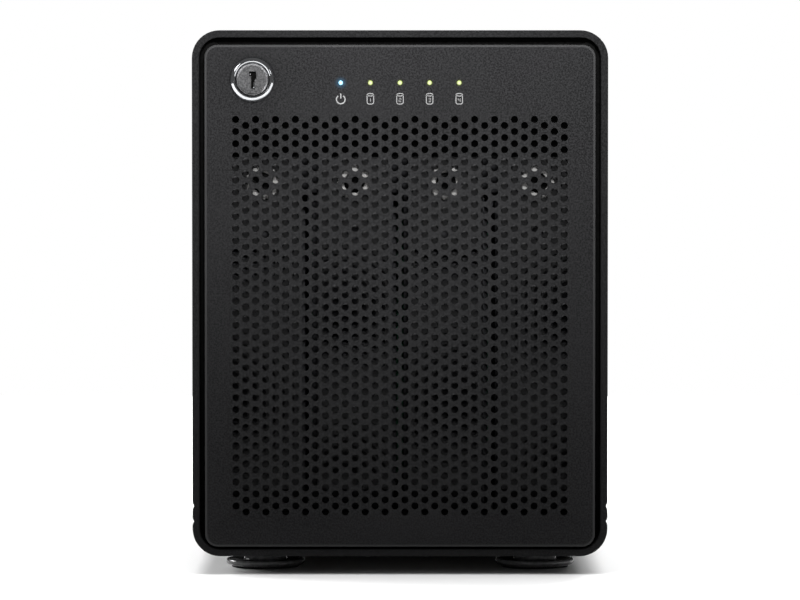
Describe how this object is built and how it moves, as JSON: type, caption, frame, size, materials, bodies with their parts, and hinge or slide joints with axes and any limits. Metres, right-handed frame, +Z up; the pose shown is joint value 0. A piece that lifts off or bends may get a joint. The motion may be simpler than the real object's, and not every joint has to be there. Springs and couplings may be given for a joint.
{
  "type": "nas enclosure",
  "caption": "Desktop storage tower with a perforated lift-off key-lock door, drive trays on slides, rear fan and ports, on saucer feet.",
  "frame": {"origin": "middle of the overall footprint, on the plane the feet stand on", "axes": "+X to the right seen from the front, +Y to the back, +Z up"},
  "size_m": [0.135, 0.2449, 0.177],
  "materials": {
    "shell_coat": "fine satin anodised black",
    "door_coat": "fine satin anodised charcoal",
    "black_steel": "matt black powder coat",
    "zinc_steel": "zinc plated sheet",
    "black_plastic": "fine spark texture",
    "foot_plastic": "gloss moulded",
    "pad_rubber": "matt rubber",
    "bright_chrome": "polished plating",
    "nickel_screw": "nickel plated",
    "black_screw": "black oxide",
    "lock_nickel": "satin nickel",
    "drive_casting": "cast and machined",
    "bar_aluminium": "mill finish",
    "circuit_green": "solder mask",
    "component_black": "moulded epoxy",
    "jack_metal": "tinned can",
    "guide_plastic": "moulded grey",
    "pipe_clear": "clear moulded",
    "switch_plastic": "gloss moulded",
    "pin_brass": "bright",
    "fan_plastic": "glass filled",
    "guard_wire": "bright plated wire"
  },
  "bodies": {
    "chassis": {"top_cover": "shell_coat", "base_pan": "shell_coat", "feet": "foot_plastic", "foot_pads": "pad_rubber", "foot_screws": "nickel_screw", "case_screws": "black_screw", "front_frame": "black_plastic", "catch_grommets": "pad_rubber", "light_board": "circuit_green", "drive_cage": "black_steel", "cage_rails": "zinc_steel", "knob_bar": "black_steel", "guide_rails": "guide_plastic", "backplane_board": "circuit_green", "sata_connectors": "black_plastic", "board_screws": "nickel_screw", "main_board": "circuit_green", "board_components": "component_black", "processor_heatsink": "bar_aluminium", "ethernet_jacks": "jack_metal", "usb_ports": "jack_metal", "supply_case": "zinc_steel", "supply_board": "component_black", "ac_inlet": "black_plastic", "inlet_pins": "pin_brass", "switch_frame": "switch_plastic", "rear_panel": "shell_coat", "fan_frame": "fan_plastic", "fan_stator": "zinc_steel", "fan_guard": "guard_wire", "fan_screws": "nickel_screw"},
    "door": {"door_panel": "door_coat", "door_liner": "black_plastic", "light_pipes": "pipe_clear", "lock_housing": "bright_chrome", "lock_nut": "nickel_screw"},
    "lock": {"lock_barrel": "lock_nickel", "lock_cam": "black_steel"},
    "fan": {"fan_rotor": "fan_plastic"},
    "power_switch": {"switch_rocker": "switch_plastic"},
    "tray_a": {"tray_a_bezel": "black_steel", "tray_a_sled": "black_steel", "tray_a_screws": "nickel_screw", "hard_drive_a": "drive_casting"},
    "knob_a": {"tray_a_knob": "nickel_screw"},
    "tray_b": {"tray_b_bezel": "black_steel", "tray_b_sled": "black_steel", "tray_b_screws": "nickel_screw", "hard_drive_b": "drive_casting"},
    "knob_b": {"tray_b_knob": "nickel_screw"},
    "tray_c": {"tray_c_bezel": "black_steel", "tray_c_sled": "black_steel", "tray_c_screws": "nickel_screw", "hard_drive_c": "drive_casting"},
    "knob_c": {"tray_c_knob": "nickel_screw"},
    "tray_d": {"tray_d_bezel": "black_steel", "tray_d_sled": "black_steel", "tray_d_screws": "nickel_screw", "hard_drive_d": "drive_casting"},
    "knob_d": {"tray_d_knob": "nickel_screw"}
  },
  "joints": [
    {"name": "door_pull", "type": "slide", "parent": "chassis", "child": "door", "axis": [0, -1, 0], "range_m": [0, 0.3]},
    {"name": "lock_turn", "type": "hinge", "parent": "door", "child": "lock", "pos_m": [-0.0478, -0.11945, 0.1611], "axis": [0, 1, 0], "range_deg": [0, 90]},
    {"name": "fan_spin", "type": "hinge", "parent": "chassis", "child": "fan", "pos_m": [0, 0.10535, 0.083], "axis": [0, 1, 0], "continuous": true},
    {"name": "power_switch_rock", "type": "hinge", "parent": "chassis", "child": "power_switch", "pos_m": [-0.004, 0.11805, 0.156], "axis": [1, 0, 0], "range_deg": [-16, 0]},
    {"name": "tray_a_slide", "type": "slide", "parent": "chassis", "child": "tray_a", "axis": [0, -1, 0], "range_m": [0, 0.2]},
    {"name": "knob_a_turn", "type": "hinge", "parent": "tray_a", "child": "knob_a", "pos_m": [-0.0447, -0.11145, 0.1275], "axis": [0, 1, 0], "continuous": true},
    {"name": "tray_b_slide", "type": "slide", "parent": "chassis", "child": "tray_b", "axis": [0, -1, 0], "range_m": [0, 0.2]},
    {"name": "knob_b_turn", "type": "hinge", "parent": "tray_b", "child": "knob_b", "pos_m": [-0.0149, -0.11145, 0.1275], "axis": [0, 1, 0], "continuous": true},
    {"name": "tray_c_slide", "type": "slide", "parent": "chassis", "child": "tray_c", "axis": [0, -1, 0], "range_m": [0, 0.2]},
    {"name": "knob_c_turn", "type": "hinge", "parent": "tray_c", "child": "knob_c", "pos_m": [0.0149, -0.11145, 0.1275], "axis": [0, 1, 0], "continuous": true},
    {"name": "tray_d_slide", "type": "slide", "parent": "chassis", "child": "tray_d", "axis": [0, -1, 0], "range_m": [0, 0.2]},
    {"name": "knob_d_turn", "type": "hinge", "parent": "tray_d", "child": "knob_d", "pos_m": [0.0447, -0.11145, 0.1275], "axis": [0, 1, 0], "continuous": true}
  ],
  "couplings": [
    {"joint": "tray_a_slide", "follows": "door_pull", "ratio": 0.6666},
    {"joint": "tray_b_slide", "follows": "door_pull", "ratio": 0.6666},
    {"joint": "tray_c_slide", "follows": "door_pull", "ratio": 0.6666},
    {"joint": "tray_d_slide", "follows": "door_pull", "ratio": 0.6666}
  ]
}
